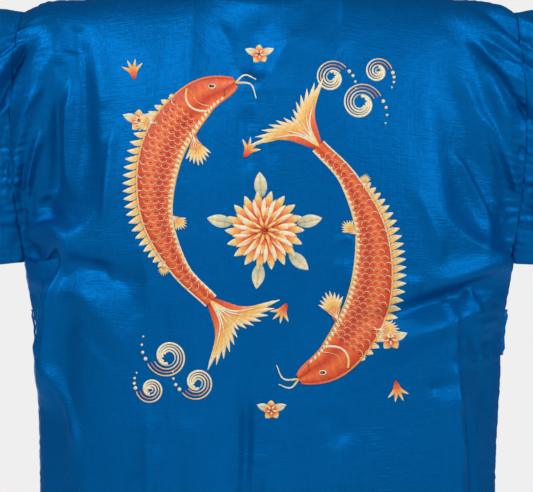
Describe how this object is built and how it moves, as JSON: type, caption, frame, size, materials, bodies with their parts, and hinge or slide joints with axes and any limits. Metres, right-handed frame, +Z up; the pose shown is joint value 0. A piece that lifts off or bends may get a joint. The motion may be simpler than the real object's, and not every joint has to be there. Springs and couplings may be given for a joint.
{
  "type": "kimono robe",
  "caption": "Long open-fronted satin kimono robe with wide straight sleeves, a stand-up neckband that runs down both fronts, and a belt loop on each side seam, as worn with the arms out.",
  "frame": {"origin": "between the two neck points of the shoulder seams, where the wearer's shoulders carry the robe", "axes": "+Z up, the front faces -Y and the wearer's left is +X"},
  "size_m": [1.3682, 0.2623, 1.2544],
  "materials": {
    "satin": "royal blue silk satin with a soft sheen and a design embroidered in orange, yellow and cream on the back",
    "neckband": "the same satin, doubled and topstitched",
    "belt_loop": "narrow loop of the same satin, stitched at both ends"
  },
  "bodies": {
    "root": {"back": "satin", "front_left": "satin", "front_right": "satin", "sleeve_left": "satin", "sleeve_right": "satin", "neckband": "neckband", "belt_loop_left": "belt_loop", "belt_loop_right": "belt_loop"}
  },
  "joints": []
}
